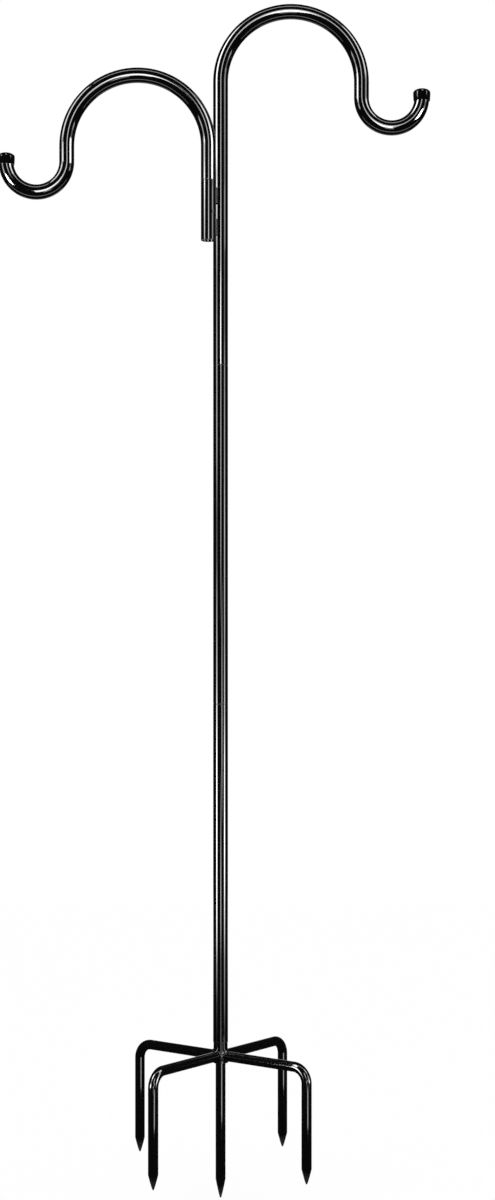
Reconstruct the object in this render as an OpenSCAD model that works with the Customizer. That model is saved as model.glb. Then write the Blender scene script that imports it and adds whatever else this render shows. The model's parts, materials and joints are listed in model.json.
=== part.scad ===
// Two-tier hook stand for hanging pots: a five-pronged ground stake, a mast of plug-together
// tubes, a tall hook bent from the top tube, and a lower side hook that turns in a receiver.
// Origin: on the mast's axis, at the underside of the stake's hub, where it meets the soil.
// +Z is up, the tall hook reaches towards +X and the side hook towards -X.

/* [Tube] */
// Outside diameter of the mast, hook and receiver tube
tube_od = 19.05; // [16:0.05:25]
// Wall of that tube
tube_wall = 1.5; // [1.2:0.1:2.5]
// Radial clearance of every plug, peg and pin that slides or turns in the tube's bore
slip_gap = 0.08; // [0.02:0.01:0.1]

/* [Mast] */
// Length of each of the two straight mast tubes
section_l = 432; // [250:1:600]
// Straight leg of the tall hook, below its arch
stem_l = 362; // [250:1:600]
// How far each coupler stands in the tube above it, and in the tube that holds it
coupler_grip = 50; // [30:1:70]
// Wall of the couplers
coupler_wall = 2; // [1.2:0.1:3]
// Bevel on the ends of couplers, pegs and pins
lead_in = 1.2; // [0.4:0.1:1.5]

/* [Hooks] */
// Centreline radius of each hook's arch
arch_r = 90; // [60:1:130]
// Straight run between the arch and the crook
run_l = 20; // [5:0.5:60]
// Centreline radius of the crook that a pot hangs in
crook_r = 38.5; // [28:0.5:55]
// Straight tail after the crook
tail_l = 5; // [2:0.5:20]

/* [End caps] */
// Wall of an end cap where its skirt meets the crown
cap_wall = 1.2; // [1:0.05:2.5]
// Wall of the skirt at its mouth, to which it tapers
cap_lip = 0.7; // [0.5:0.05:1]
// Play between the skirt's mouth and the inner side of the crook
cap_play = 0.02; // [0.01:0.01:0.1]
// How far the skirt reaches down past the tail, over the start of the crook
cap_lap = 4; // [0:0.5:6]
// Height of the crown above the tube's end
cap_crown = 6.5; // [4:0.5:12]
// Straight part of the crown below its rounding
cap_band = 1.2; // [0.5:0.1:2.5]

/* [Side hook] */
// Distance from the start of the tall hook's arch down to the receiver's rim
receiver_drop = 129; // [115:1:200]
// Length of the receiver
receiver_l = 76; // [60:1:100]
// Gap between the receiver and the mast, filled by the welds
weld_gap = 1; // [0.5:0.1:3]
// Angle round the mast from -X towards -Y where the receiver stands
receiver_turn = 40; // [0:1:60]
// Straight leg of the side hook, between the receiver and its arch
side_leg_l = 44; // [42:1:100]
// How far the joining pin stands in the receiver, and in the side hook
pin_grip = 38; // [20:1:40]
// Diameter of the cross pin that the joining pin stands on
stop_pin_d = 4; // [2:0.5:6]
// Length of each of the two welds on the receiver
weld_l = 18; // [8:1:25]
// Half width of those welds, across the valley between the tubes
weld_half_w = 4.5; // [3:0.1:6]

/* [Ground stake] */
// Diameter of the stake's rods
rod_d = 12.7; // [8:0.1:16]
// Distance from the mast's axis to the axis of each side prong
prong_reach = 134.5; // [80:0.5:200]
// Centreline radius of the bend in each side prong
prong_bend_r = 19; // [16:1:40]
// Depth of the side prongs' points below the hub
prong_depth = 134; // [90:1:250]
// Depth of the centre spike's point below the hub
spike_depth = 172.5; // [100:0.5:300]
// Length of a side prong's point
prong_point_l = 18.6; // [10:0.1:30]
// Length of the centre spike's point
spike_point_l = 24; // [12:0.1:40]
// Angle of the first side prong from +X towards -Y; the others follow at right angles
stake_turn = 37; // [0:1:90]
// Radius of the weld beads between the side prongs and the hub
stake_bead_r = 2.5; // [1:0.1:4]
// Extra width of the hub's barrel, which keeps neighbouring arms clear of each other
barrel_margin = 1; // [0.2:0.1:3]
// Height of the hub, from the soil to the shoulder that carries the mast
hub_h = 26; // [24:1:50]
// How much narrower than the tube the hub's shoulder is, all round
shoulder_step = 0.5; // [0.2:0.1:0.8]
// Length of the hub's peg, up inside the mast
peg_l = 60; // [30:1:90]
// Diameter of the spike's tenon in the hub
tenon_d = 10; // [5:0.5:10]
// Length of that tenon
tenon_l = 14; // [8:1:20]

/* [Hidden] */
$fn = 96;

coat = [0.06, 0.06, 0.065];
bare_steel = [0.62, 0.63, 0.65];
cap_black = [0.03, 0.03, 0.03];

tube_bore = tube_od - 2 * tube_wall;
slip_d = tube_bore - 2 * slip_gap;
rod_r = rod_d / 2;
point_flat = rod_r / 8;
point_steps = 6;
point_fullness = 0.85;
crown_steps = 8;
cut_over = 1;
crook_inner_r = crook_r - tube_od / 2;
crook_rise = crook_inner_r - sqrt(crook_inner_r * crook_inner_r - cap_lap * cap_lap);
cap_clearance = crook_rise + cap_play;

lower_base = hub_h;
middle_base = lower_base + section_l;
top_base = middle_base + section_l;
arch_base = top_base + stem_l;
receiver_rim = arch_base - receiver_drop;
receiver_foot = receiver_rim - receiver_l;
receiver_offset = tube_od + weld_gap;
receiver_x = -receiver_offset * cos(receiver_turn);
receiver_y = -receiver_offset * sin(receiver_turn);
weld_inset = weld_l / 2;

arm_z = rod_r + stake_bead_r;
barrel_d = sqrt(2) * rod_d + barrel_margin;
barrel_h = 2 * arm_z;
shoulder_d = tube_od - 2 * shoulder_step;
bead_x = (barrel_d - stake_bead_r / 2) / 2;

// Cross-section of the tube
module tube_ring() {
    difference() {
        circle(d = tube_od);
        circle(d = tube_bore);
    }
}

// Straight length of tube, standing on the XY plane
module tube(length) {
    linear_extrude(length) tube_ring();
}

// Tube bent half round the origin in the XZ plane, on the +Z side
module half_bend(radius) {
    rotate([90, 0, 0])
        rotate_extrude(angle = 180)
            translate([radius, 0]) tube_ring();
}

// Places its children where a hook's crook ends and its tail starts
module at_crook_end(leg) {
    translate([2 * (arch_r + crook_r), 0, leg - run_l]) children();
}

// Bent hook: leg, arch, run, crook and tail, with its leg on the Z axis
module hook(leg) {
    tube(leg);
    translate([arch_r, 0, leg]) half_bend(arch_r);
    translate([2 * arch_r, 0, leg - run_l]) tube(run_l);
    translate([2 * arch_r + crook_r, 0, leg - run_l])
        rotate([0, 180, 0]) half_bend(crook_r);
    at_crook_end(leg) tube(tail_l);
}

// End cap: a tapered skirt over the tube's end, wide enough to clear the crook, and a round crown
module cap() {
    bore_r = tube_od / 2 + cap_clearance;
    lip_r = bore_r + cap_lip;
    outer_r = bore_r + cap_wall;
    skirt = tail_l + cap_lap;
    dome_h = cap_crown - cap_band;
    crown = [
        for (i = [0 : crown_steps])
            let (a = 90 * i / crown_steps)
            [outer_r * cos(a), cap_band + dome_h * sin(a)]
    ];
    rotate_extrude()
        polygon(concat(
            [[0, 0], [bore_r, 0], [bore_r, -skirt], [lip_r, -skirt]],
            crown
        ));
}

// Short sleeve: pressed in the tube below z = 0, a slip fit in the tube above it
module coupler() {
    press_r = tube_bore / 2;
    slip_r = slip_d / 2;
    inner_r = press_r - coupler_wall;
    rotate_extrude()
        polygon([
            [inner_r, -coupler_grip],
            [press_r - lead_in / 2, -coupler_grip],
            [press_r, -coupler_grip + lead_in],
            [press_r, 0],
            [slip_r, 0],
            [slip_r, coupler_grip - lead_in],
            [slip_r - lead_in / 2, coupler_grip],
            [inner_r, coupler_grip],
        ]);
}

// Solid pin along Z from z = 0, with both ends bevelled
module bevelled_pin(diameter, length) {
    rotate_extrude()
        polygon([
            [0, 0],
            [diameter / 2 - lead_in, 0],
            [diameter / 2, lead_in],
            [diameter / 2, length - lead_in],
            [diameter / 2 - lead_in, length],
            [0, length],
        ]);
}

// Rod's point, slightly full, from z = 0 down to its blunt end
module rod_point(length) {
    side = [
        for (i = [0 : point_steps])
            let (t = i / point_steps)
            [point_flat + (rod_r - point_flat) * pow(1 - t, point_fullness), -length * t]
    ];
    rotate_extrude() polygon(concat([[0, 0]], side, [[0, -length]]));
}

// Turns its children to side prong number i
module at_prong(i) {
    rotate([0, 0, 90 * i - stake_turn]) children();
}

// Straight stretch of a side prong's arm, from one distance off the axis to another
module arm_bar(from, to) {
    translate([from, 0, arm_z])
        rotate([0, 90, 0]) cylinder(d = rod_d, h = to - from);
}

// Side prong: arm coped to the hub, bend, leg and point
module prong() {
    elbow_x = prong_reach - prong_bend_r;
    elbow_z = arm_z - prong_bend_r;
    point_z = prong_point_l - prong_depth;
    difference() {
        arm_bar(0, elbow_x);
        cylinder(d = barrel_d, h = barrel_h);
    }
    translate([elbow_x, 0, elbow_z])
        rotate([90, 0, 0])
            rotate_extrude(angle = 90)
                translate([prong_bend_r, 0]) circle(d = rod_d);
    translate([prong_reach, 0, point_z]) cylinder(d = rod_d, h = elbow_z - point_z);
    translate([prong_reach, 0, point_z]) rod_point(prong_point_l);
}

module prong_front_right() {
    color(coat) at_prong(0) prong();
}

module prong_rear_right() {
    color(coat) at_prong(1) prong();
}

module prong_rear_left() {
    color(coat) at_prong(2) prong();
}

module prong_front_left() {
    color(coat) at_prong(3) prong();
}

// Centre spike: bare rod from the hub down to its point, with a tenon up in the hub
module centre_spike() {
    straight_l = spike_depth - spike_point_l;
    color(coat) {
        translate([0, 0, -straight_l]) cylinder(d = rod_d, h = straight_l);
        translate([0, 0, -straight_l]) rod_point(spike_point_l);
        cylinder(d = tenon_d, h = tenon_l);
    }
}

// Hub: a barrel for the arms, a shoulder for the mast and a peg up inside it
module stake_hub() {
    peg_r = slip_d / 2;
    peg_top = hub_h + peg_l;
    color(coat)
        rotate_extrude()
            polygon([
                [tenon_d / 2, 0],
                [barrel_d / 2, 0],
                [barrel_d / 2, barrel_h],
                [shoulder_d / 2, barrel_h],
                [shoulder_d / 2, hub_h],
                [peg_r, hub_h],
                [peg_r, peg_top - lead_in],
                [peg_r - lead_in, peg_top],
                [0, peg_top],
                [0, tenon_l],
                [tenon_d / 2, tenon_l],
            ]);
}

// Round weld beads where the four arms meet the hub
module stake_welds() {
    color(coat)
        difference() {
            for (i = [0 : 3])
                at_prong(i)
                    translate([bead_x, 0, arm_z])
                        rotate([0, 90, 0])
                            rotate_extrude()
                                translate([rod_r, 0]) circle(r = stake_bead_r);
            translate([0, 0, -cut_over]) cylinder(d = barrel_d, h = barrel_h + 2 * cut_over);
            for (i = [0 : 3])
                at_prong(i) arm_bar(0, barrel_d);
        }
}

module lower_tube() {
    color(coat) translate([0, 0, lower_base]) tube(section_l);
}

module lower_coupler() {
    color(bare_steel) translate([0, 0, middle_base]) coupler();
}

module middle_tube() {
    color(coat) translate([0, 0, middle_base]) tube(section_l);
}

module middle_coupler() {
    color(bare_steel) translate([0, 0, top_base]) coupler();
}

module main_hook() {
    color(coat) translate([0, 0, top_base]) hook(stem_l);
}

module main_hook_cap() {
    color(cap_black)
        translate([0, 0, top_base])
            at_crook_end(stem_l)
                translate([0, 0, tail_l]) cap();
}

// Places its children on the receiver's axis, at the height of its rim
module at_receiver() {
    translate([receiver_x, receiver_y, receiver_rim]) children();
}

// Bar right through the receiver, square to the line from the mast, under the joining pin
module stop_bar() {
    translate([0, 0, -pin_grip - stop_pin_d / 2])
        rotate([90, 0, receiver_turn])
            cylinder(d = stop_pin_d, h = tube_od + 2 * cut_over, center = true);
}

module side_receiver() {
    color(coat)
        at_receiver()
            difference() {
                translate([0, 0, -receiver_l]) tube(receiver_l);
                stop_bar();
            }
}

// Cross pin that the joining pin stands on, its ends flush with the receiver's outside
module receiver_stop_pin() {
    color(coat)
        at_receiver()
            intersection() {
                stop_bar();
                translate([0, 0, -receiver_l]) cylinder(d = tube_od, h = receiver_l);
            }
}

// Two welds in the valley between the receiver and the mast, one near each end
module receiver_welds() {
    color(coat)
        for (z = [receiver_foot + weld_inset, receiver_rim - weld_inset - weld_l])
            translate([0, 0, z])
                linear_extrude(weld_l)
                    difference() {
                        translate([receiver_x / 2, receiver_y / 2]) circle(r = weld_half_w);
                        circle(d = tube_od);
                        translate([receiver_x, receiver_y]) circle(d = tube_od);
                    }
}

// Pin that joins the receiver and the side hook: it turns in one and slides out of the other
module joining_pin() {
    color(bare_steel)
        at_receiver()
            translate([0, 0, -pin_grip]) bevelled_pin(slip_d, 2 * pin_grip);
}

module side_hook() {
    color(coat) at_receiver() rotate([0, 0, 180]) hook(side_leg_l);
}

module side_hook_cap() {
    color(cap_black)
        at_receiver()
            rotate([0, 0, 180])
                at_crook_end(side_leg_l)
                    translate([0, 0, tail_l]) cap();
}

centre_spike();
stake_hub();
stake_welds();
prong_front_right();
prong_rear_right();
prong_rear_left();
prong_front_left();
lower_tube();
lower_coupler();
middle_tube();
middle_coupler();
main_hook();
main_hook_cap();
side_receiver();
receiver_welds();
receiver_stop_pin();
joining_pin();
side_hook();
side_hook_cap();
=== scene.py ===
"""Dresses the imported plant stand: tubes, rods, welds, end caps, finishes and a plain studio."""

import json
import math

import bmesh
import bpy
from bpy.props import FloatProperty, FloatVectorProperty, IntProperty, PointerProperty
from bpy.types import Operator, Panel, PropertyGroup
from mathutils import Matrix, Vector

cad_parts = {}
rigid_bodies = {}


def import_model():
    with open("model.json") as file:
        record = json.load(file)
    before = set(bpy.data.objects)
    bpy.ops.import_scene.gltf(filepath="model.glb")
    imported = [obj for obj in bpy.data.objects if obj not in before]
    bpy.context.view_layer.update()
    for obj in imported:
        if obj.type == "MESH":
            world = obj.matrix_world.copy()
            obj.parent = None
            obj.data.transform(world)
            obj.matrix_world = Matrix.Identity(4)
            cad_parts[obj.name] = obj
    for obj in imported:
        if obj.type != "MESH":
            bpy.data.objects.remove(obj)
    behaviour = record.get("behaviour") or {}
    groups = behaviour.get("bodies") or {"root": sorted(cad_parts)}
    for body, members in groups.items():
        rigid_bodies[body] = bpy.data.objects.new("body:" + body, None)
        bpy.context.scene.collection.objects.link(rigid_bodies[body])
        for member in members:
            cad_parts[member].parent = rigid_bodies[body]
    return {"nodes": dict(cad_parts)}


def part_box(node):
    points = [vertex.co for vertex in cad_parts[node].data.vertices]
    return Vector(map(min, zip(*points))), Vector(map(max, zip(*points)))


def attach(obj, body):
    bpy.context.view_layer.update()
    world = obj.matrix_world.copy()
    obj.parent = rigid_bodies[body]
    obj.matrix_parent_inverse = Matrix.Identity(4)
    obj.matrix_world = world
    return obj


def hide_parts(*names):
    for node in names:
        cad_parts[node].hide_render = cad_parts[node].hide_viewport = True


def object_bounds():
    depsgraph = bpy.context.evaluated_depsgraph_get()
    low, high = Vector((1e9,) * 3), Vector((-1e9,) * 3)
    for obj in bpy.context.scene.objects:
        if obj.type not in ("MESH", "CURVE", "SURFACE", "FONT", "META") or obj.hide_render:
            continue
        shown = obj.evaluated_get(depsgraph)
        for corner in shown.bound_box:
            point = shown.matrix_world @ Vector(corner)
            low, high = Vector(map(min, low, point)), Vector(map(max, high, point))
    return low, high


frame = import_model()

bl_info = {
    "name": "Hanging Plant Stand",
    "version": (1, 0, 0),
    "blender": (4, 5, 0),
    "location": "View3D > Sidebar > Plant Stand",
    "description": "Builds the tubes, rods, welds, caps and studio of a two-hook plant stand",
    "category": "Object",
}

CAD_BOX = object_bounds()

UP = Vector((0, 0, 1))
WHITE = (1, 1, 1, 1)
WATTS_PER_RADIANCE = 4  # of an area lamp, for each square metre
DARK_ROOM = 0.02  # brightness that gloss mirrors from before and beside the stand
SAME_PLACE = 1e-6  # points closer than this are one, in metres
BEAD_GRAIN = 0.00035  # voxel in which the ripples of a weld melt together, in metres
PLATED = ("lower_coupler", "middle_coupler", "joining_pin")

# What the frame says of the stand's own sizes, in metres
MAIN_LOW, MAIN_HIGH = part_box("main_hook")
SIDE_LOW, SIDE_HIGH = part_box("side_hook")
SPIKE_LOW, SPIKE_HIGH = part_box("centre_spike")
RECEIVER_LOW, RECEIVER_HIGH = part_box("side_receiver")
TUBE_LOW, TUBE_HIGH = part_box("middle_tube")
PIN_LOW, PIN_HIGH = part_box("receiver_stop_pin")
TUBE_D = TUBE_HIGH.y - TUBE_LOW.y
ROD_D = SPIKE_HIGH.y - SPIKE_LOW.y


# ---------------------------------------------------------------- sizes and colours


class StandSizes(PropertyGroup):
    """Sizes of the stand's dressed pieces"""

    tube_diameter: FloatProperty(
        name="Tube diameter", default=TUBE_D, unit="LENGTH",
        description="Outside diameter of the mast, the hooks and the receiver",
    )
    tube_wall: FloatProperty(
        name="Tube wall", default=0.0015, unit="LENGTH",
        description="Wall of that tube, which shows at its open ends",
    )
    rim_break: FloatProperty(
        name="Rim rounding", default=0.0004, unit="LENGTH",
        description="Width of the rounding on a tube's rims",
    )
    arch_radius: FloatProperty(
        name="Arch radius", default=0.090, unit="LENGTH",
        description="Centreline radius of each hook's arch",
    )
    tail_length: FloatProperty(
        name="Tail length", default=0.005, unit="LENGTH",
        description="Straight tail after each crook, inside the end cap",
    )
    rod_diameter: FloatProperty(
        name="Rod diameter", default=ROD_D, unit="LENGTH",
        description="Diameter of the stake's prongs and spike",
    )
    prong_bend_radius: FloatProperty(
        name="Prong bend radius", default=0.019, unit="LENGTH",
        description="Centreline radius of the bend in each side prong",
    )
    prong_point: FloatProperty(
        name="Prong point", default=0.0186, unit="LENGTH",
        description="Length of the point on each side prong",
    )
    spike_point: FloatProperty(
        name="Spike point", default=0.024, unit="LENGTH",
        description="Length of the point on the centre spike",
    )
    cap_bore: FloatProperty(
        name="Cap bore", default=0.019645, unit="LENGTH",
        description="Inside diameter of each end cap's skirt",
    )
    cap_lip: FloatProperty(
        name="Cap lip", default=0.0007, unit="LENGTH",
        description="Wall of the end cap's skirt at its mouth",
    )
    bead_radius: FloatProperty(
        name="Weld bead radius", default=0.0022, unit="LENGTH",
        description="Radius of one ripple of a weld bead",
    )
    bead_pitch: FloatProperty(
        name="Weld ripple pitch", default=0.0013, unit="LENGTH",
        description="Distance from one ripple of a weld bead to the next",
    )
    rim_wear: FloatProperty(
        name="Rim wear", default=0.003, unit="LENGTH",
        description="How far the wear reaches from a tube's rims",
    )
    point_wear: FloatProperty(
        name="Point wear", default=0.016, unit="LENGTH",
        description="How far the wear reaches up from a prong's tip",
    )
    sides: IntProperty(
        name="Sides", default=72, min=12,
        description="Number of faces round a tube or rod",
    )
    ring_angle: FloatProperty(
        name="Ring angle", default=math.radians(2), unit="ROTATION",
        description="Angle of a bend from one ring of faces to the next",
    )


class StandColours(PropertyGroup):
    """Colours of the stand's finishes"""

    enamel: FloatVectorProperty(
        name="Enamel", default=(0.0015, 0.0015, 0.0016), subtype="COLOR",
        description="Black enamel on the tubes and rods",
    )
    cap: FloatVectorProperty(
        name="End cap", default=(0.0015, 0.0015, 0.0015), subtype="COLOR",
        description="Black moulded plastic of the end caps",
    )
    plating: FloatVectorProperty(
        name="Plating", default=(0.62, 0.62, 0.63), subtype="COLOR",
        description="Zinc plating of the couplers and the joining pin",
    )
    bare_steel: FloatVectorProperty(
        name="Bare steel", default=(0.20, 0.195, 0.19), subtype="COLOR",
        description="Steel that shows where the enamel is rubbed thin",
    )
    dust: FloatVectorProperty(
        name="Dust", default=(0.23, 0.21, 0.18), subtype="COLOR",
        description="Fine dust that settles on the finish",
    )
    floor: FloatVectorProperty(
        name="Floor", default=(0.96, 0.96, 0.96), subtype="COLOR",
        description="Pale studio floor",
    )


class StandStudio(PropertyGroup):
    """Camera and light of the studio"""

    camera_distance: FloatProperty(
        name="Camera distance", default=2.5, unit="LENGTH",
        description="Distance from the mast's axis to the camera",
    )
    camera_height: FloatProperty(
        name="Camera height", default=0.5165, unit="LENGTH",
        description="Height of the camera above the soil line",
    )
    camera_side: FloatProperty(
        name="Camera side step", default=0.0344, unit="LENGTH",
        description="How far the camera stands to the tall hook's side",
    )
    focal_length: FloatProperty(
        name="Focal length", default=58.71, unit="CAMERA",
        description="Focal length of the lens, in millimetres",
    )
    lens_shift: FloatProperty(
        name="Lens shift", default=0.0483,
        description="Upward shift of the lens, as a share of the picture's long side",
    )
    softbox_glow: FloatProperty(
        name="Softbox brightness", default=45.0,
        description="Radiance of a softbox at full power, where white paper in full light has 1",
    )
    ambient: FloatProperty(
        name="Ambient light", default=1.0,
        description="Strength of the even light from all round, at which 1 shows a colour as it is",
    )


# ---------------------------------------------------------------- node helpers


def add_node(tree, kind, inputs=None, **settings):
    """Adds a node, with its settings and with values or links on its inputs."""
    node = tree.nodes.new(kind)
    for key, value in settings.items():
        setattr(node, key, value)
    for key, value in (inputs or {}).items():
        if isinstance(value, bpy.types.NodeSocket):
            tree.links.new(value, node.inputs[key])
        else:
            node.inputs[key].default_value = value
    return node


def maths(tree, operation, *values, clamp=False):
    """Adds a Math node on numbers or links and returns its output."""
    inputs = dict(enumerate(values))
    return add_node(
        tree, "ShaderNodeMath", inputs, operation=operation, use_clamp=clamp
    ).outputs[0]


def noise(tree, coordinates, scale, detail, roughness=0.5):
    """Adds a Noise Texture node and returns its output."""
    inputs = {"Vector": coordinates, "Scale": scale, "Detail": detail, "Roughness": roughness}
    return add_node(tree, "ShaderNodeTexNoise", inputs).outputs["Fac"]


def remap(tree, value, start=0.0, end=1.0, low=0.0, high=1.0, curve="LINEAR"):
    """Adds a Map Range node, from start and end to low and high, and returns its output."""
    inputs = {"Value": value, "From Min": start, "From Max": end, "To Min": low, "To Max": high}
    return add_node(tree, "ShaderNodeMapRange", inputs, interpolation_type=curve).outputs[0]


def new_tree(name, kind, inputs, outputs):
    """Starts a node group with named sockets and returns it with its input and output nodes."""
    tree = bpy.data.node_groups.new(name, kind)
    for socket_name, socket_type, default in inputs:
        item = tree.interface.new_socket(socket_name, in_out="INPUT", socket_type=socket_type)
        if default is not None:
            item.default_value = default
    for socket_name, socket_type in outputs:
        tree.interface.new_socket(socket_name, in_out="OUTPUT", socket_type=socket_type)
    return tree, tree.nodes.new("NodeGroupInput"), tree.nodes.new("NodeGroupOutput")


def run_tree(piece, tree, values):
    """Adds a Geometry Nodes tree to a piece, with its inputs set by their identifiers."""
    step = piece.modifiers.new(tree.name, "NODES")
    step.node_group = tree
    for item in tree.interface.items_tree:
        if item.item_type == "SOCKET" and item.in_out == "INPUT" and item.name in values:
            step[item.identifier] = values[item.name]


def settle(piece):
    """Turns a piece's evaluated shape into its plain mesh and drops its modifiers."""
    graph = bpy.context.evaluated_depsgraph_get()
    graph.update()
    shape = bpy.data.meshes.new_from_object(
        piece.evaluated_get(graph), preserve_all_data_layers=True, depsgraph=graph
    )
    piece.modifiers.clear()
    piece.data = shape
    shape.name = piece.name
    if not shape.polygons:
        raise RuntimeError(f"{piece.name} came out empty")
    return piece


def link_mesh(name, mesh):
    """Puts a mesh into the scene as an object at the origin."""
    piece = bpy.data.objects.new(name, mesh)
    bpy.context.scene.collection.objects.link(piece)
    return piece


# ---------------------------------------------------------------- Geometry Nodes trees


def end_tree(tree, shape, given, result):
    """Ends a Geometry Nodes tree: real geometry, in the finish that its input names."""
    real = add_node(tree, "GeometryNodeRealizeInstances", {"Geometry": shape})
    inputs = {"Geometry": real.outputs[0], "Material": given.outputs["Finish"]}
    finished = add_node(tree, "GeometryNodeSetMaterial", inputs)
    tree.links.new(finished.outputs[0], result.inputs[0])
    return tree


def make_sweep_tree():
    """Sweeps a round section along a chain of edges, to the girth that each point states."""
    tree, given, result = new_tree(
        "Swept round bar",
        "GeometryNodeTree",
        [
            ("Path", "NodeSocketGeometry", None),
            ("Diameter", "NodeSocketFloat", 0.019),
            ("Sides", "NodeSocketInt", 72),
            ("Closed ends", "NodeSocketBool", False),
            ("Finish", "NodeSocketMaterial", None),
        ],
        [("Bar", "NodeSocketGeometry")],
    )
    chain = add_node(tree, "GeometryNodeMeshToCurve", {"Mesh": given.outputs["Path"]})
    radius = maths(tree, "MULTIPLY", given.outputs["Diameter"], 0.5)
    section = add_node(
        tree,
        "GeometryNodeCurvePrimitiveCircle",
        {"Resolution": given.outputs["Sides"], "Radius": radius},
        mode="RADIUS",
    )
    girth = add_node(tree, "GeometryNodeInputNamedAttribute", {"Name": "girth"}, data_type="FLOAT")
    bar = add_node(
        tree,
        "GeometryNodeCurveToMesh",
        {
            "Curve": chain.outputs[0],
            "Profile Curve": section.outputs[0],
            "Scale": girth.outputs[0],
            "Fill Caps": given.outputs["Closed ends"],
        },
    )
    smooth = add_node(tree, "GeometryNodeSetShadeSmooth", {"Geometry": bar.outputs[0]})
    return end_tree(tree, smooth.outputs[0], given, result)


def make_bead_tree():
    """Lays overlapping ripples of weld along a chain of edges."""
    tree, given, result = new_tree(
        "Weld bead",
        "GeometryNodeTree",
        [
            ("Seam", "NodeSocketGeometry", None),
            ("Ripple radius", "NodeSocketFloat", 0.0022),
            ("Ripple pitch", "NodeSocketFloat", 0.0013),
            ("Unevenness", "NodeSocketFloat", 0.06),
            ("Flatness", "NodeSocketFloat", 0.85),
            ("Seed", "NodeSocketInt", 7),
            ("Finish", "NodeSocketMaterial", None),
        ],
        [("Bead", "NodeSocketGeometry")],
    )
    chain = add_node(tree, "GeometryNodeMeshToCurve", {"Mesh": given.outputs["Seam"]})
    stops = add_node(
        tree,
        "GeometryNodeCurveToPoints",
        {"Curve": chain.outputs[0], "Length": given.outputs["Ripple pitch"]},
        mode="LENGTH",
    )
    ripple = add_node(
        tree,
        "GeometryNodeMeshUVSphere",
        {"Segments": 16, "Rings": 10, "Radius": given.outputs["Ripple radius"]},
    )
    least = maths(tree, "SUBTRACT", 1.0, given.outputs["Unevenness"])
    most = maths(tree, "ADD", 1.0, given.outputs["Unevenness"])
    size = add_node(
        tree,
        "FunctionNodeRandomValue",
        {2: least, 3: most, "Seed": given.outputs["Seed"]},
        data_type="FLOAT",
    ).outputs[1]
    thin = maths(tree, "MULTIPLY", size, given.outputs["Flatness"])
    scale = add_node(tree, "ShaderNodeCombineXYZ", {"X": size, "Y": size, "Z": thin})
    laid = add_node(
        tree,
        "GeometryNodeInstanceOnPoints",
        {
            "Points": stops.outputs["Points"],
            "Instance": ripple.outputs["Mesh"],
            "Rotation": stops.outputs["Rotation"],
            "Scale": scale.outputs[0],
        },
    )
    return end_tree(tree, laid.outputs[0], given, result)


def shared_tree(name, maker):
    """Returns a node group by name, made the first time it is asked for."""
    return bpy.data.node_groups.get(name) or maker()


# ---------------------------------------------------------------- paths


def arc(centre, radius, start, end, step):
    """Points in the XZ plane along an arc, from one angle to another, without its first point."""
    count = max(2, round(abs(end - start) / step))
    turns = [start + (end - start) * i / count for i in range(1, count + 1)]
    return [centre + radius * Vector((math.cos(a), 0, math.sin(a))) for a in turns]


def stretch(start, end, reach):
    """Points along a straight stretch, closer together within reach of its ends."""
    along = (end - start).normalized() * reach
    shares = (0, 0.25, 0.5, 1)
    return [start + along * share for share in shares] + [
        end - along * share for share in reversed(shares)
    ]


def wear_along(chain, reach, both_ends):
    """How worn each point of a chain is: fully at its last end, and at its first if both are."""
    walked = [0.0]
    for (place, _), (following, _) in zip(chain, chain[1:]):
        walked.append(walked[-1] + (following - place).length)
    gaps = [walked[-1] - distance for distance in walked]
    if both_ends:
        gaps = [min(pair) for pair in zip(walked, gaps)]
    return [max(0.0, 1 - gap / reach) for gap in gaps]


def chain_mesh(name, chains, wear=None):
    """Makes a mesh of edge chains; a point is a place and a girth, its share of the diameter."""
    mesh = bpy.data.meshes.new(name)
    places = [place for chain in chains for place, _ in chain]
    girths = [girth for chain in chains for _, girth in chain]
    edges = []
    first = 0
    for chain in chains:
        edges += [(i, i + 1) for i in range(first, first + len(chain) - 1)]
        first += len(chain)
    mesh.from_pydata(places, edges, [])
    mesh.attributes.new("girth", "FLOAT", "POINT").data.foreach_set("value", girths)
    if wear:
        mesh.attributes.new("end_wear", "FLOAT", "POINT").data.foreach_set("value", wear)
    return mesh


def hook_path(sizes, low, high, leg_foot, crook_low, toward):
    """Centreline of a bent hook, whose arch leans towards +X or -X, as the direction says."""
    tube_r = sizes.tube_diameter / 2
    arch_r = sizes.arch_radius
    arch_base = high.z - tube_r - arch_r
    crook_r = (high.x - low.x - 2 * tube_r) / 2 - arch_r
    crook_z = crook_low + tube_r + crook_r
    step = sizes.ring_angle
    arch_centre = Vector((arch_r, 0, arch_base))
    crook_centre = Vector((2 * arch_r + crook_r, 0, crook_z))
    crook_end = Vector((2 * (arch_r + crook_r), 0, crook_z))
    points = stretch(Vector((0, 0, leg_foot)), Vector((0, 0, arch_base)), sizes.rim_wear)
    points += arc(arch_centre, arch_r, math.pi, 0, step)
    points += [Vector((2 * arch_r, 0, crook_z))]
    points += arc(crook_centre, crook_r, math.pi, 2 * math.pi, step)
    tail = sizes.tail_length * UP
    points += [crook_end + tail * share for share in (0.125, 0.25, 0.5, 0.75, 1)]
    leg_x = low.x + tube_r if toward > 0 else high.x - tube_r
    leg_y = (low.y + high.y) / 2
    return [(Vector((leg_x + toward * p.x, leg_y, p.z)), 1.0) for p in points]


def rod_point(tip, length, steps=14, fullness=0.85, blunt=1 / 8):
    """Places and girths of a rod's slightly full point, from its shoulder to the blunt tip."""
    shares = [i / steps for i in range(steps + 1)]
    return [
        (tip + UP * length * (1 - t), blunt + (1 - blunt) * (1 - t) ** fullness)
        for t in shares
    ]


# ---------------------------------------------------------------- finishes


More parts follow.
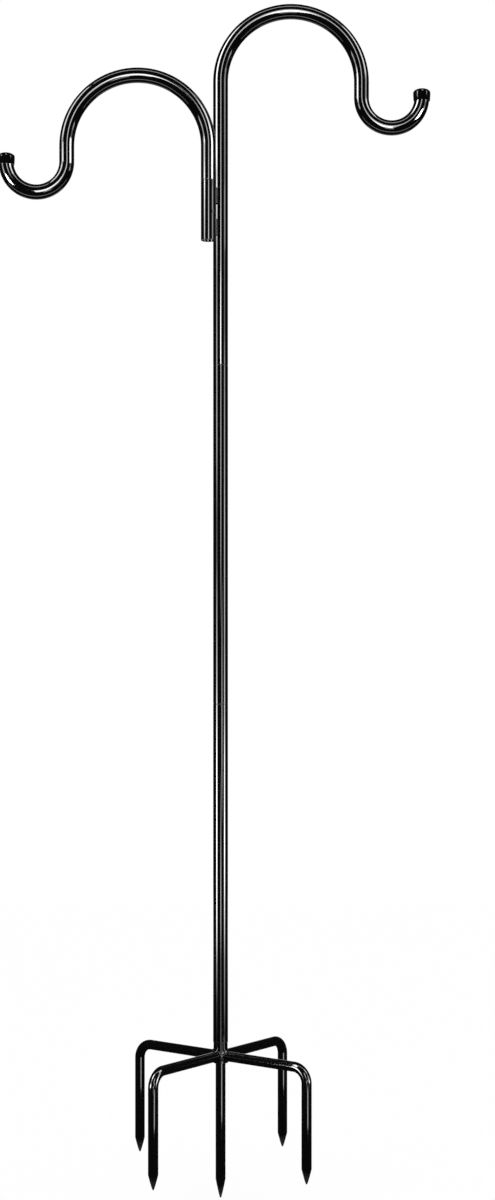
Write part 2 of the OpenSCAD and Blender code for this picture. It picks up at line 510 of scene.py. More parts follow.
def make_speckle_group():
    """Mask of fine dust: speckled, and heavier on faces that look up."""
    tree, given, result = new_tree(
        "Settled dust",
        "ShaderNodeTree",
        [
            ("Coordinates", "NodeSocketVector", None),
            ("Speckle size", "NodeSocketFloat", 400.0),
            ("Amount", "NodeSocketFloat", 0.1),
        ],
        [("Mask", "NodeSocketFloat")],
    )
    coordinates = given.outputs["Coordinates"]
    facing = add_node(tree, "ShaderNodeNewGeometry").outputs["Normal"]
    upward = add_node(tree, "ShaderNodeSeparateXYZ", {0: facing}).outputs["Z"]
    lift = remap(tree, upward, start=-0.2, low=0.15)
    speckle = given.outputs["Speckle size"]
    grains = noise(tree, coordinates, scale=speckle, detail=4.0, roughness=0.65)
    drifts = noise(tree, coordinates, scale=9.0, detail=3.0)
    sharp = remap(tree, grains, start=0.48, end=0.72, curve="SMOOTHSTEP")
    patchy = maths(tree, "MULTIPLY", sharp, drifts)
    settled = maths(tree, "MULTIPLY", patchy, lift)
    mask = maths(tree, "MULTIPLY", settled, given.outputs["Amount"], clamp=True)
    tree.links.new(mask, result.inputs["Mask"])
    return tree


def make_wear_group():
    """Mask of finish rubbed thin near a bar's ends, broken up by noise."""
    tree, given, result = new_tree(
        "End wear",
        "ShaderNodeTree",
        [
            ("Coordinates", "NodeSocketVector", None),
            ("Amount", "NodeSocketFloat", 0.5),
        ],
        [("Mask", "NodeSocketFloat")],
    )
    near = add_node(tree, "ShaderNodeAttribute", attribute_name="end_wear").outputs["Fac"]
    scuffs = noise(tree, given.outputs["Coordinates"], scale=700.0, detail=5.0, roughness=0.7)
    broken = remap(tree, scuffs, start=0.42, end=0.62, curve="SMOOTHSTEP")
    both = maths(tree, "MULTIPLY", near, broken)
    mask = maths(tree, "MULTIPLY", both, given.outputs["Amount"], clamp=True)
    tree.links.new(mask, result.inputs["Mask"])
    return tree


def make_peel_group():
    """Height of a sprayed finish: a fine orange peel over a slow unevenness."""
    tree, given, result = new_tree(
        "Sprayed surface",
        "ShaderNodeTree",
        [
            ("Coordinates", "NodeSocketVector", None),
            ("Peel scale", "NodeSocketFloat", 900.0),
            ("Slow share", "NodeSocketFloat", 2.0),
        ],
        [("Height", "NodeSocketFloat"), ("Roughness share", "NodeSocketFloat")],
    )
    coordinates = given.outputs["Coordinates"]
    fine = given.outputs["Peel scale"]
    peel = noise(tree, coordinates, scale=fine, detail=1.5, roughness=0.4)
    slow = noise(tree, coordinates, scale=45.0, detail=1.0)
    height = maths(tree, "MULTIPLY_ADD", slow, given.outputs["Slow share"], peel)
    tree.links.new(height, result.inputs["Height"])
    tree.links.new(slow, result.inputs["Roughness share"])
    return tree


def group_node(tree, name, maker, **inputs):
    """Places a shared shader node group in a material."""
    return add_node(tree, "ShaderNodeGroup", inputs, node_tree=shared_tree(name, maker))


def blend_colours(tree, share, first, second):
    """Mixes two colours, which are the Mix node's inputs 6 and 7, by a mask."""
    mix = add_node(tree, "ShaderNodeMix", {0: share, 6: first, 7: second}, data_type="RGBA")
    return mix.outputs[2]


def new_finish(name):
    """Starts a material and returns it with its node tree and its shader."""
    finish = bpy.data.materials.new(name)
    finish.use_nodes = True
    return finish, finish.node_tree, finish.node_tree.nodes["Principled BSDF"]


def make_coating(name, colours, colour, roughness, dust, wear, peel_depth):
    """Glossy sprayed or moulded black finish, with dust, worn ends and a fine orange peel."""
    finish, tree, shader = new_finish(name)
    place = add_node(tree, "ShaderNodeTexCoord").outputs["Object"]
    dusty = group_node(
        tree, "Settled dust", make_speckle_group, Coordinates=place, Amount=dust
    ).outputs["Mask"]
    worn = group_node(
        tree, "End wear", make_wear_group, Coordinates=place, Amount=wear
    ).outputs["Mask"]
    sprayed = group_node(tree, "Sprayed surface", make_peel_group, Coordinates=place)
    bare = blend_colours(tree, worn, (*colour, 1), (*colours.bare_steel, 1))
    coloured = blend_colours(tree, dusty, bare, (*colours.dust, 1))
    swing, rubbing, dulling = 0.3, 0.25, 0.6  # unevenness, and what wear and dust add
    share = sprayed.outputs["Roughness share"]
    uneven = remap(tree, share, low=roughness * (1 - swing), high=roughness * (1 + swing))
    scuffed = maths(tree, "MULTIPLY_ADD", worn, rubbing, uneven)
    dulled = maths(tree, "MULTIPLY_ADD", dusty, dulling, scuffed)
    bump = add_node(
        tree,
        "ShaderNodeBump",
        {"Height": sprayed.outputs["Height"], "Strength": 1.0, "Distance": peel_depth},
    )
    tree.links.new(coloured, shader.inputs["Base Color"])
    tree.links.new(dulled, shader.inputs["Roughness"])
    tree.links.new(worn, shader.inputs["Metallic"])
    tree.links.new(bump.outputs[0], shader.inputs["Normal"])
    return finish


def make_plating(name, colours):
    """Zinc-plated, turned steel: fine rings round each part and a soft, cloudy lustre."""
    finish, tree, shader = new_finish(name)
    place = add_node(tree, "ShaderNodeTexCoord").outputs["Object"]
    turned = add_node(
        tree, "ShaderNodeMapping", {"Vector": place, "Scale": (25.0, 25.0, 2600.0)}
    ).outputs[0]
    rings = noise(tree, turned, scale=1.0, detail=3.0)
    clouds = noise(tree, place, scale=60.0, detail=4.0)
    duller = tuple(0.82 * c for c in colours.plating)
    cloudy = blend_colours(tree, clouds, (*duller, 1), (*colours.plating, 1))
    bump = add_node(tree, "ShaderNodeBump", {"Height": rings, "Strength": 0.5, "Distance": 2e-5})
    tree.links.new(cloudy, shader.inputs["Base Color"])
    tree.links.new(remap(tree, rings, low=0.22, high=0.42), shader.inputs["Roughness"])
    tree.links.new(bump.outputs[0], shader.inputs["Normal"])
    shader.inputs["Metallic"].default_value = 1.0
    return finish


def finish_for(slot):
    """Returns the material for one of the record's slots, made the first time it is asked for."""
    name = f"{slot}_finish"
    if name in bpy.data.materials:
        return bpy.data.materials[name]
    colours = bpy.context.scene.stand_colours
    enamel = tuple(colours.enamel)
    # Colour, roughness, dust, wear and the depth of the orange peel
    recipes = {
        "tube_coat": (enamel, 0.05, 0.02, 0.1, 0.5e-6),
        "stake_coat": (enamel, 0.07, 0.05, 0.4, 1e-6),
        "weld_coat": (enamel, 0.12, 0.02, 0.0, 2e-6),
        "end_cap": (tuple(colours.cap), 0.1, 0.02, 0.0, 2e-6),
    }
    if slot == "plated_steel":
        return make_plating(name, colours)
    return make_coating(name, colours, *recipes[slot])


def dress(piece, body, slot, *nodes):
    """Gives a piece its finish, its body and the CAD nodes that it stands for."""
    piece.data.materials.clear()
    piece.data.materials.append(finish_for(slot))
    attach(piece, body)
    if nodes:
        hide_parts(*nodes)
    return piece


def refinish(node, slot):
    """Gives a CAD node that stays as it is its finish."""
    part = frame["nodes"][node]
    part.data.materials.clear()
    part.data.materials.append(finish_for(slot))


# ---------------------------------------------------------------- makers


def sweep(name, chain, slot, diameter, wear_reach, closed=True, both_ends=True):
    """Sweeps a solid rod, or the open outer skin of a tube, along a chain."""
    sizes = bpy.context.scene.stand_sizes
    wear = wear_along(chain, wear_reach, both_ends)
    piece = link_mesh(name, chain_mesh(name, [chain], wear))
    values = {
        "Diameter": diameter,
        "Sides": sizes.sides,
        "Closed ends": closed,
        "Finish": finish_for(slot),
    }
    run_tree(piece, shared_tree("Swept round bar", make_sweep_tree), values)
    return piece


def make_tube(name, chain, body, slot, node):
    """Makes a tube with a real wall and rounded rims along a chain, in place of its CAD node."""
    sizes = bpy.context.scene.stand_sizes
    piece = sweep(name, chain, slot, sizes.tube_diameter, sizes.rim_wear, closed=False)
    wall = piece.modifiers.new("Wall", "SOLIDIFY")
    wall.thickness = sizes.tube_wall
    wall.offset = -1
    wall.use_even_offset = True
    rims = piece.modifiers.new("Rims", "BEVEL")
    rims.width = sizes.rim_break
    rims.segments = 3
    rims.limit_method = "ANGLE"
    rims.angle_limit = math.radians(60)
    return dress(settle(piece), body, slot, node)


def make_rod(name, chain, node):
    """Makes a solid rod of the stake along a chain, in place of its CAD node."""
    sizes = bpy.context.scene.stand_sizes
    piece = sweep(name, chain, "stake_coat", sizes.rod_diameter, sizes.point_wear, both_ends=False)
    dress(settle(piece), "ground_stake", "stake_coat", node)


def sort_faces(shape):
    """Puts the faces of a spun shape into one order, as Spin's own changes from run to run."""
    shape.verts.index_update()
    count = len(shape.verts)

    def rank(face):
        corners = [corner.index for corner in face.verts]
        return min(corners) * count + max(corners)

    shape.faces.sort(key=rank)


def straight_chain(low, high, reach):
    """Chain along the vertical axis of a CAD node's box, from its foot to its top."""
    x, y = (low.x + high.x) / 2, (low.y + high.y) / 2
    points = stretch(Vector((x, y, low.z)), Vector((x, y, high.z)), reach)
    return [(p, 1.0) for p in points]


# ---------------------------------------------------------------- operators


class STAND_OT_mast_tubes(Operator):
    """Make the two straight tubes of the mast"""

    bl_idname = "stand.mast_tubes"
    bl_label = "Mast Tubes"

    def execute(self, context):
        reach = context.scene.stand_sizes.rim_wear
        for place in ("lower", "middle"):
            node = f"{place}_tube"
            chain = straight_chain(*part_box(node), reach)
            make_tube(f"{place}_mast_tube", chain, f"{place}_mast", "tube_coat", node)
        return {"FINISHED"}


class STAND_OT_hooks(Operator):
    """Make the tall hook and the side hook from bent tube"""

    bl_idname = "stand.hooks"
    bl_label = "Hooks"

    def execute(self, context):
        sizes = context.scene.stand_sizes
        tube_r = sizes.tube_diameter / 2
        crown_drop = SIDE_HIGH.z - SIDE_LOW.z
        tall = hook_path(sizes, MAIN_LOW, MAIN_HIGH, MAIN_LOW.z, MAIN_HIGH.z - crown_drop, 1)
        side = hook_path(sizes, SIDE_LOW, SIDE_HIGH, RECEIVER_HIGH.z, SIDE_LOW.z, -1)
        if abs(tall[0][0].x) > tube_r:
            raise RuntimeError("the tall hook's leg isn't on the mast's axis")
        make_tube("tall_hook_tube", tall, "top_mast", "tube_coat", "main_hook")
        make_tube("side_hook_tube", side, "side_arm", "tube_coat", "side_hook")
        return {"FINISHED"}


class STAND_OT_end_caps(Operator):
    """Make the two moulded end caps"""

    bl_idname = "stand.end_caps"
    bl_label = "End Caps"

    CROWN_HEIGHT = 0.0053
    SKIRT_OVERLAP = 0.004  # how far the skirt reaches over the bend, before the tail
    SHARP_ANGLE = math.radians(50)

    def profile(self, sizes, low, high):
        """Closed half section of a cap, as distances from its axis and heights."""
        bore_r = sizes.cap_bore / 2
        outer_r = (high.x - low.x) / 2
        lip_r = bore_r + sizes.cap_lip
        fillet = sizes.cap_lip / 2
        band = high.z - self.CROWN_HEIGHT
        tube_end = low.z + self.SKIRT_OVERLAP + sizes.tail_length
        foot = low.z + fillet
        lip_steps, side_steps, crown_steps = 8, 12, 16
        lip = [
            (bore_r + fillet * (1 - math.cos(a)), foot - fillet * math.sin(a))
            for a in (math.pi * i / lip_steps for i in range(lip_steps + 1))
        ]
        side = [
            (lip_r + (outer_r - lip_r) * math.sin(math.pi / 2 * t), foot + (band - foot) * t)
            for t in (i / side_steps for i in range(1, side_steps + 1))
        ]
        crown = [
            (outer_r * math.cos(a), band + self.CROWN_HEIGHT * math.sin(a))
            for a in (math.pi / 2 * i / crown_steps for i in range(1, crown_steps + 1))
        ]
        return [(0.0, tube_end), (bore_r, tube_end)] + lip + side + crown

    def execute(self, context):
        sizes = context.scene.stand_sizes
        for node, name, body in (
            ("main_hook_cap", "tall_hook_end_cap", "top_mast"),
            ("side_hook_cap", "side_hook_end_cap", "side_arm"),
        ):
            low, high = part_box(node)
            centre = (low + high) / 2
            shape = bmesh.new()
            corners = [
                shape.verts.new((centre.x + r, centre.y, z))
                for r, z in self.profile(sizes, low, high)
            ]
            edges = [shape.edges.new(pair) for pair in zip(corners, corners[1:])]
            bmesh.ops.spin(
                shape,
                geom=corners + edges,
                cent=(centre.x, centre.y, 0),
                axis=UP,
                angle=2 * math.pi,
                steps=sizes.sides,
                use_merge=True,
            )
            bmesh.ops.remove_doubles(shape, verts=shape.verts, dist=SAME_PLACE)
            bmesh.ops.recalc_face_normals(shape, faces=shape.faces)
            sort_faces(shape)
            mesh = bpy.data.meshes.new(name)
            shape.to_mesh(mesh)
            shape.free()
            mesh.shade_smooth()
            mesh.set_sharp_from_angle(angle=self.SHARP_ANGLE)
            dress(link_mesh(name, mesh), body, "end_cap", node)
        return {"FINISHED"}


class STAND_OT_receiver(Operator):
    """Make the receiver tube and the cross pin through it"""

    bl_idname = "stand.receiver"
    bl_label = "Receiver"

    PIN_DOME = 0.0006  # how far the cross pin's heads stand out of the tube
    DOME_STEPS = 6
    LEAST_GIRTH = 0.12  # of a head's middle

    def execute(self, context):
        sizes = context.scene.stand_sizes
        chain = straight_chain(RECEIVER_LOW, RECEIVER_HIGH, sizes.rim_wear)
        make_tube("receiver_tube", chain, "top_mast", "tube_coat", "side_receiver")
        middle = (PIN_LOW + PIN_HIGH) / 2
        reach = sizes.tube_diameter / 2
        direction = Vector((middle.x, middle.y, 0)).cross(UP).normalized()
        head = [
            (reach + self.PIN_DOME * math.sin(a), max(self.LEAST_GIRTH, math.cos(a)))
            for a in (math.pi / 2 * i / self.DOME_STEPS for i in range(self.DOME_STEPS + 1))
        ]
        chain = [(middle - direction * d, girth) for d, girth in reversed(head)]
        chain += [(middle + direction * d, girth) for d, girth in head]
        pin_d = PIN_HIGH.z - PIN_LOW.z
        pin = sweep("receiver_cross_pin", chain, "tube_coat", pin_d, self.PIN_DOME)
        dress(settle(pin), "top_mast", "tube_coat", "receiver_stop_pin")
        return {"FINISHED"}


class STAND_OT_stake_rods(Operator):
    """Make the four side prongs and the centre spike"""

    bl_idname = "stand.stake_rods"
    bl_label = "Stake Rods"

    def execute(self, context):
        sizes = context.scene.stand_sizes
        rod_r = sizes.rod_diameter / 2
        bend_r = sizes.prong_bend_radius
        for place in ("front_right", "rear_right", "rear_left", "front_left"):
            node = f"prong_{place}"
            low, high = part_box(node)
            leg_x = high.x - rod_r if high.x > -low.x else low.x + rod_r
            leg_y = high.y - rod_r if high.y > -low.y else low.y + rod_r
            reach = Vector((leg_x, leg_y, 0)).length
            arm_z = high.z - rod_r
            elbow = Vector((reach - bend_r, 0, arm_z - bend_r))
            root = rod_r * 0.8  # inside the hub
            points = [Vector((root, 0, arm_z)), Vector((reach - bend_r, 0, arm_z))]
            points += arc(elbow, bend_r, math.pi / 2, 0, 2 * sizes.ring_angle)
            chain = [(p, 1.0) for p in points]
            chain += rod_point(Vector((reach, 0, low.z)), sizes.prong_point)
            turn = Matrix.Rotation(math.atan2(leg_y, leg_x), 3, "Z")
            chain = [(turn @ p, girth) for p, girth in chain]
            make_rod(f"{node}_rod", chain, node)
        top = Vector((0, 0, SPIKE_HIGH.z / 2))
        chain = [(top, 1.0)] + rod_point(Vector((0, 0, SPIKE_LOW.z)), sizes.spike_point)
        make_rod("centre_spike_rod", chain, "centre_spike")
        return {"FINISHED"}


def make_beads(name, seams, body, node, seed):
    """Lays weld beads along seams and melts their ripples into one skin."""
    sizes = bpy.context.scene.stand_sizes
    piece = link_mesh(name, chain_mesh(name, [[(p, 1.0) for p in seam] for seam in seams]))
    values = {
        "Ripple radius": sizes.bead_radius,
        "Ripple pitch": sizes.bead_pitch,
        "Seed": seed,
        "Finish": finish_for("weld_coat"),
    }
    run_tree(piece, shared_tree("Weld bead", make_bead_tree), values)
    skin = piece.modifiers.new("Skin", "REMESH")
    skin.mode = "VOXEL"
    skin.voxel_size = BEAD_GRAIN
    skin.use_smooth_shade = True
    flow = piece.modifiers.new("Flow", "SMOOTH")
    flow.factor = 0.5
    flow.iterations = 12
    return dress(settle(piece), body, "weld_coat", node)


class STAND_OT_stake_welds(Operator):
    """Make the hub's finish and the weld beads where the four arms meet it"""

    bl_idname = "stand.stake_welds"
    bl_label = "Hub and Its Welds"

    RING_POINTS = 48

    def execute(self, context):
        sizes = context.scene.stand_sizes
        rod_r = sizes.rod_diameter / 2
        prong_low, prong_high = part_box("prong_front_right")
        arm_z = prong_high.z - rod_r
        first_turn = math.atan2(prong_low.y + rod_r, prong_high.x - rod_r)
        hub_low, hub_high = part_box("stake_hub")
        hub_r = (hub_high.x - hub_low.x) / 2
        ring = []
        for k in range(self.RING_POINTS + 1):
            a = 2 * math.pi * k / self.RING_POINTS
            y, z = rod_r * math.cos(a), rod_r * math.sin(a)
            ring.append(Vector((math.sqrt(hub_r**2 - y**2), y, arm_z + z)))
        turns = [Matrix.Rotation(first_turn + i * math.pi / 2, 3, "Z") for i in range(4)]
        seams = [[turn @ p for p in ring] for turn in turns]
        make_beads("hub_weld_beads", seams, "ground_stake", "stake_welds", 11)
        refinish("stake_hub", "stake_coat")
        return {"FINISHED"}


class STAND_OT_receiver_welds(Operator):
    """Make the weld beads between the receiver and the mast"""

    bl_idname = "stand.receiver_welds"
    bl_label = "Receiver Welds"

    BEAD_LENGTH = 0.018
    BEAD_OFFSET = 0.0032  # from the plane through the two tubes' axes

    def execute(self, context):
        low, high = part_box("receiver_welds")
        length = self.BEAD_LENGTH
        middle = (RECEIVER_LOW + RECEIVER_HIGH) / 4
        middle.z = 0
        across = middle.cross(UP).normalized() * self.BEAD_OFFSET
        seams = []
        for foot in (low.z, high.z - length):
            for side in (-1, 1):
                base = middle + side * across
                seams.append([base + UP * (foot + length * share) for share in (0, 0.5, 1)])
        make_beads("receiver_weld_beads", seams, "top_mast", "receiver_welds", 23)
        return {"FINISHED"}


class STAND_OT_fittings(Operator):
    """Finish the plated couplers and the joining pin"""

    bl_idname = "stand.fittings"
    bl_label = "Plated Fittings"

    def execute(self, context):
        for node in PLATED:
            refinish(node, "plated_steel")
        return {"FINISHED"}


class STAND_OT_stage(Operator):
    """Set up the floor, the softboxes, the world and the camera"""

    bl_idname = "stand.stage"
    bl_label = "Studio"

    ARM = ("side_hook_tube",)
    TALL = ("tall_hook_tube",)
    CAPS = ("side_hook_end_cap", "tall_hook_end_cap")

    # What a lamp lights: the named pieces, or all but them
    LIT = {
        "plated": (PLATED, True),
        "caps": (CAPS, True),
        "side_cap": (CAPS[:1], True),
        "tall_cap": (CAPS[1:], True),
        "black": (PLATED + CAPS, False),
        "side": (ARM, True),
        "tall": (TALL, True),
        "hooks": (ARM + TALL, True),
        "mast": (ARM + PLATED + CAPS, False),
        "foot": (ARM + TALL + PLATED + CAPS, False),
    }

    # Softboxes: azimuth from the camera's side, distance, width, what they light, and pairs of a
    # height and the share of full power there
    SOFTBOXES = {
        "left_low": (
            -60, 2.0, 0.6, "foot",
            ((-0.4, 0.0), (-0.34, 0.004), (-0.27, 0.02), (-0.18, 0.14), (-0.09, 0.5), (0.1, 0.66),
             (0.28, 0.64), (0.37, 0.45), (0.47, 0.25), (0.65, 0.13), (0.74, 0.05), (0.83, 0.04),
             (0.93, 0.1), (1.0, 0.16)),
        ),
        "left": (
            -60, 2.0, 0.6, "black",
            ((1.0, 0.16), (1.27, 0.15), (1.38, 0.1), (1.48, 0.2), (1.54, 0.3), (1.6, 0.45),
             (1.66, 0.22), (1.7, 0.22)),
        ),
        "right_low": (
            66, 2.0, 0.6, "foot",
            ((-0.4, 0.0), (-0.34, 0.014), (-0.27, 0.07), (-0.18, 0.11), (-0.09, 0.29), (0.0, 0.48),
             (0.1, 0.6), (0.19, 0.46), (0.28, 0.45), (0.37, 0.25), (0.47, 0.2), (0.56, 0.16),
             (0.83, 0.19), (0.93, 0.155), (1.0, 0.14)),
        ),
        "right": (66, 2.0, 0.6, "black", ((1.0, 0.14), (1.2, 0.11), (1.27, 0.05), (1.6, 0.05))),
        "centre": (
            5, 3.0, 0.6, "black",
            ((-0.6, 0.05), (-0.33, 0.045), (-0.22, 0.19), (-0.1, 0.19), (0.0, 0.13), (0.1, 0.06),
             (0.2, 0.0), (0.6, 0.0), (0.68, 0.04), (0.79, 0.12), (0.9, 0.15), (1.02, 0.17),
             (1.52, 0.18), (1.61, 0.26), (1.7, 0.26), (1.9, 0.2), (2.4, 0.17)),
        ),
        "centre_low": (
            22, 3.0, 0.6, "foot",
            ((0.05, 0.0), (0.12, 0.08), (0.23, 0.15), (0.34, 0.16), (0.45, 0.14), (0.57, 0.11),
             (0.68, 0.05), (0.75, 0.0)),
        ),
        "stake": (28, 3.0, 1.1, "foot", ((-1.1, 0.13), (-0.6, 0.13))),
        "key_left": (
            -64, 2.2, 1.0, "mast",
            ((1.69, 0.15), (1.75, 0.4), (1.9, 0.45), (3.3, 0.55), (4.0, 0.4), (4.8, 0.1)),
        ),
        "key_right": (
            62, 2.2, 1.1, "side",
            ((1.55, 0.3), (1.7, 0.55), (2.1, 0.5), (2.5, 0.3), (3.2, 0.3), (3.9, 0.06),
             (4.8, 0.04)),
        ),
        "kicker_right": (71, 2.2, 0.9, "mast", ((1.5, 0.05), (1.9, 0.1), (2.1, 0.25), (4.2, 0.25))),
        "kicker_left": (
            -71, 2.2, 0.9, "side", ((1.5, 0.05), (1.75, 0.1), (2.0, 0.25), (4.2, 0.25)),
        ),
        "crown_tall": (
            3, 3.0, 0.6, "tall", ((0.2, 0.0), (0.6, 0.4), (1.1, 0.5), (1.45, 0.45), (1.6, 0.2)),
        ),
        "crown_side": (
            -5, 3.0, 0.6, "side", ((0.2, 0.0), (0.6, 0.4), (1.3, 0.5), (1.5, 0.45), (1.7, 0.2)),
        ),
        "cap_left": (-62, 2.0, 0.35, "caps", ((1.6, 0.15), (1.95, 0.3), (2.3, 0.1))),
        "cap_right": (66, 2.0, 0.3, "caps", ((1.6, 0.1), (1.95, 0.15), (2.3, 0.05))),
        "plated_left": (-50, 2.5, 1.7, "plated", ((-1.0, 0.03), (3.5, 0.03))),
        "plated_right": (60, 2.5, 2.0, "plated", ((-1.0, 0.015), (3.5, 0.015))),
        "plated_back": (170, 2.5, 2.0, "plated", ((-1.0, 0.022), (3.5, 0.022))),
    }

    # Small lamps: what they light, width, height, the angle that they spread over, in degrees, the
    # share of full power, their place and the point that they face
    SPOTS = {
        "crook_tall": ("tall", 0.1, 0.08, 26, 0.08, (0.426, -0.174, 1.175), (0.252, 0, 1.21)),
        "crook_side": (
            "side", 0.1, 0.08, 26, 0.08, (-0.435, -0.193, 1.083), (-0.267, -0.013, 1.128),
        ),
        "cap_tall": ("tall_cap", 0.4, 0.4, 180, 0.5, (0.37, -1.03, 2.47), (0.257, 0, 1.25)),
        "cap_side": (
            "side_cap", 0.4, 0.4, 180, 0.5, (-0.15, -1.04, 2.38), (-0.275, -0.013, 1.165),
        ),
    }

    def softbox(self, name, azimuth, distance, width, lit, levels, glow):
        """One softbox, which faces the stand and varies in power over its height."""
        foot, head = levels[0][0], levels[-1][0]
        a = math.radians(azimuth)
        place = Vector((distance * math.sin(a), -distance * math.cos(a), (foot + head) / 2))
        turn = Vector((place.x, place.y, 0)).to_track_quat("Z", "Y").to_euler()
        tree = self.lamp(name, width, head - foot, place, turn, lit, glow).node_tree
        spot = add_node(tree, "ShaderNodeNewGeometry").outputs["Parametric"]
        rise = add_node(tree, "ShaderNodeSeparateXYZ", {0: spot}).outputs["Y"]
        ramp = add_node(tree, "ShaderNodeValToRGB", {"Fac": rise})
        stops = ramp.color_ramp.elements
        for stop, (_, power) in zip(stops, (levels[0], levels[-1])):
            stop.color = (power, power, power, 1)
        for height, power in levels[1:-1]:
            stops.new((height - foot) / (head - foot)).color = (power, power, power, 1)
        tree.links.new(ramp.outputs[0], tree.nodes["Emission"].inputs["Color"])

    def lamp(self, name, width, height, place, turn, lit, radiance):
        """A rectangular lamp of one radiance, seen only in the gloss of what it lights."""
        light = bpy.data.lights.new(name, "AREA")
        light.shape = "RECTANGLE"
        light.size = width
        light.size_y = height
        light.energy = WATTS_PER_RADIANCE * radiance * width * height
        light.use_nodes = True
        box = bpy.data.objects.new(name, light)
        box.location = place
        box.rotation_euler = turn
        box.visible_camera = False
        box.visible_diffuse = False
        box.light_linking.receiver_collection = self.gather(lit)
        bpy.context.scene.collection.objects.link(box)
        return light

    def gather(self, lit):
        """Collection of the pieces that a lamp lights, made the first time it is asked for."""
        name = f"lit_{lit}"
        if name in bpy.data.collections:
            return bpy.data.collections[name]
        collection = bpy.data.collections.new(name)
        names, wanted = self.LIT[lit]
        for piece in bpy.context.scene.objects:
            if piece.type == "MESH" and (piece.name in names) == wanted:
                collection.objects.link(piece)
        return collection

    def floor(self, colours):
        """Pale paper under and behind the stand, which shows white and keeps its soft shadow."""
        z = CAD_BOX[0].z
        left, right, front, back = -1.5, 1.5, -0.16, 3.0
        corners = [(left, front, z), (right, front, z), (right, back, z), (left, back, z)]
        mesh = bpy.data.meshes.new("studio_floor")
        mesh.from_pydata(corners, [], [(0, 1, 2, 3)])
        floor = link_mesh("studio_floor", mesh)
        paper, tree, shader = new_finish("studio_paper")
        shader.inputs["Base Color"].default_value = (*colours.floor, 1)
        shader.inputs["Roughness"].default_value = 0.9
        shader.inputs["Specular IOR Level"].default_value = 0.2
        white = add_node(
            tree, "ShaderNodeEmission", {"Color": WHITE, "Strength": self.paper_depth(tree)}
        )
        mix = add_node(
            tree,
            "ShaderNodeMixShader",
            {0: self.paper_share(tree), 1: shader.outputs[0], 2: white.outputs[0]},
        )
        tree.links.new(mix.outputs[0], tree.nodes["Material Output"].inputs["Surface"])
        mesh.materials.append(paper)

    def mirrored(self, path):
        """Mask of the rays that see the background in gloss or through a clear piece."""
        outputs = path.outputs
        return maths(path.id_data, "ADD", outputs["Is Glossy Ray"], outputs["Is Transmission Ray"])

    def paper_share(self, tree):
        """Share of the plain white that shows: most of it to the camera, all of it in gloss."""
        path = add_node(tree, "ShaderNodeLightPath")
        seen = maths(tree, "MULTIPLY", path.outputs["Is Camera Ray"], 0.9)
        return maths(tree, "MAXIMUM", seen, self.mirrored(path))

    def paper_depth(self, tree):
        """Brightness of the paper: white to the camera, but in gloss only behind the stand."""
        spot = add_node(tree, "ShaderNodeTexCoord").outputs["Object"]
        depth = add_node(tree, "ShaderNodeSeparateXYZ", {0: spot}).outputs["Y"]
        behind = remap(tree, depth, start=0.9, end=2.4, low=DARK_ROOM, curve="SMOOTHSTEP")
        camera = add_node(tree, "ShaderNodeLightPath").outputs["Is Camera Ray"]
        return maths(tree, "MAXIMUM", behind, camera)

    def world(self, studio):
        """White backdrop behind the stand in a dark room, with an even light for matt surfaces."""
        world = bpy.data.worlds.new("studio")
        bpy.context.scene.world = world
        world.use_nodes = True
        tree = world.node_tree
        tree.nodes.clear()
        direction = add_node(tree, "ShaderNodeTexCoord").outputs["Generated"]
        depth = add_node(tree, "ShaderNodeSeparateXYZ", {0: direction}).outputs["Y"]
        backdrop = remap(tree, depth, start=0.93, end=0.99, low=DARK_ROOM, curve="SMOOTHSTEP")
        path = add_node(tree, "ShaderNodeLightPath")
        camera = path.outputs["Is Camera Ray"]
        strength = maths(tree, "MAXIMUM", backdrop, camera)
        seen = maths(tree, "ADD", self.mirrored(path), camera, clamp=True)
        lights = [
            add_node(tree, "ShaderNodeBackground", {"Color": WHITE, "Strength": value}).outputs[0]
            for value in (studio.ambient, strength)
        ]
        mix = add_node(tree, "ShaderNodeMixShader", {0: seen, 1: lights[0], 2: lights[1]})
        output = add_node(tree, "ShaderNodeOutputWorld")
        tree.links.new(mix.outputs[0], output.inputs["Surface"])

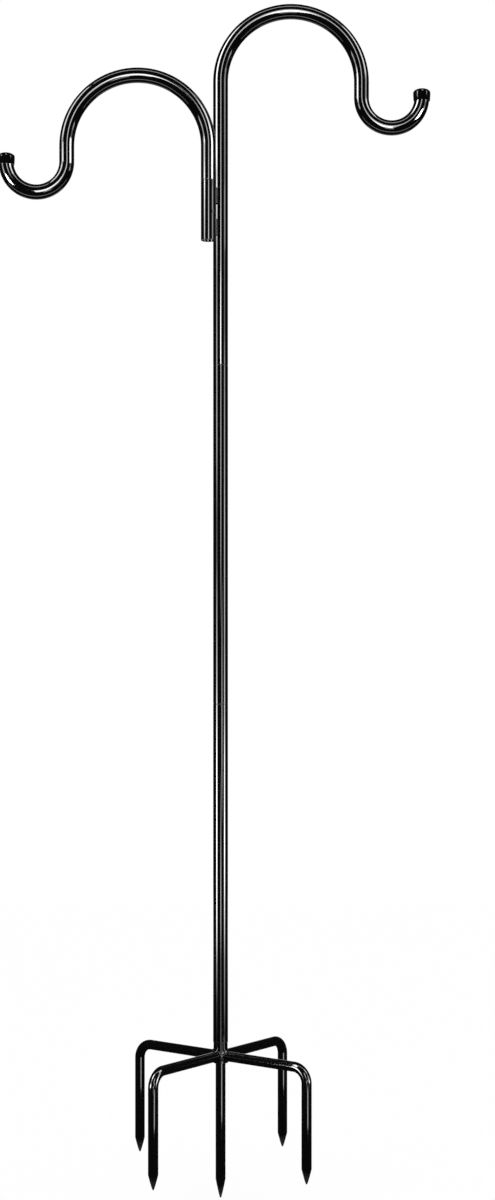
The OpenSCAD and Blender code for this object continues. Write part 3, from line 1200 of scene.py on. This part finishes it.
    def execute(self, context):
        scene = context.scene
        studio = scene.stand_studio
        scene.view_settings.view_transform = "Standard"
        lens = bpy.data.cameras.new("camera")
        lens.lens = studio.focal_length
        lens.sensor_width = 36
        lens.shift_y = studio.lens_shift
        lens.clip_end = 100
        camera = bpy.data.objects.new("camera", lens)
        camera.location = (studio.camera_side, -studio.camera_distance, studio.camera_height)
        camera.rotation_euler = (math.radians(90), 0, 0)
        scene.collection.objects.link(camera)
        scene.camera = camera
        in_front = ("side_hook_end_cap", "receiver_tube", "receiver_cross_pin", "joining_pin")
        for name in self.ARM + in_front:
            scene.objects[name].visible_glossy = False
        self.floor(scene.stand_colours)
        self.world(studio)
        glow = studio.softbox_glow
        for name, box in self.SOFTBOXES.items():
            self.softbox(f"softbox_{name}", *box, glow)
        for name, (lit, width, height, spread, share, place, aim) in self.SPOTS.items():
            turn = (Vector(place) - Vector(aim)).to_track_quat("Z", "Y").to_euler()
            spot = self.lamp(f"spot_{name}", width, height, place, turn, lit, share * glow)
            spot.spread = math.radians(spread)
        down, up = (0, 0, 0), (math.pi, 0, 0)
        self.lamp("overhead", 3.0, 0.4, (0.1, -0.75, 3.4), down, "black", 0.12 * glow)
        self.lamp("underlight", 6.0, 0.2, (0.0, -0.28, -0.17), up, "hooks", 0.07 * glow)
        return {"FINISHED"}


class STAND_PT_panel(Panel):
    """Lists the stand's pieces, sizes and colours"""

    bl_idname = "STAND_PT_panel"
    bl_label = "Plant Stand"
    bl_space_type = "VIEW_3D"
    bl_region_type = "UI"
    bl_category = "Plant Stand"

    def draw(self, context):
        for operator in OPERATORS:
            self.layout.operator(operator.bl_idname)
        for settings in (
            context.scene.stand_sizes,
            context.scene.stand_colours,
            context.scene.stand_studio,
        ):
            for name in settings.__annotations__:
                self.layout.prop(settings, name)


OPERATORS = (
    STAND_OT_mast_tubes,
    STAND_OT_hooks,
    STAND_OT_end_caps,
    STAND_OT_receiver,
    STAND_OT_receiver_welds,
    STAND_OT_stake_rods,
    STAND_OT_stake_welds,
    STAND_OT_fittings,
    STAND_OT_stage,
)
GROUPS = {
    "stand_sizes": StandSizes,
    "stand_colours": StandColours,
    "stand_studio": StandStudio,
}


def register():
    for group in GROUPS.values():
        bpy.utils.register_class(group)
    for name, group in GROUPS.items():
        setattr(bpy.types.Scene, name, PointerProperty(type=group))
    for operator in OPERATORS:
        bpy.utils.register_class(operator)
    bpy.utils.register_class(STAND_PT_panel)


def unregister():
    bpy.utils.unregister_class(STAND_PT_panel)
    for operator in reversed(OPERATORS):
        bpy.utils.unregister_class(operator)
    for name in GROUPS:
        delattr(bpy.types.Scene, name)
    for group in reversed(GROUPS.values()):
        bpy.utils.unregister_class(group)


def main():
    """Builds the whole stand and its studio."""
    register()
    for operator in OPERATORS:
        group, name = operator.bl_idname.split(".")
        if getattr(getattr(bpy.ops, group), name)() != {"FINISHED"}:
            raise RuntimeError(f"{operator.bl_label} did not finish")


if __name__ == "__main__":
    main()
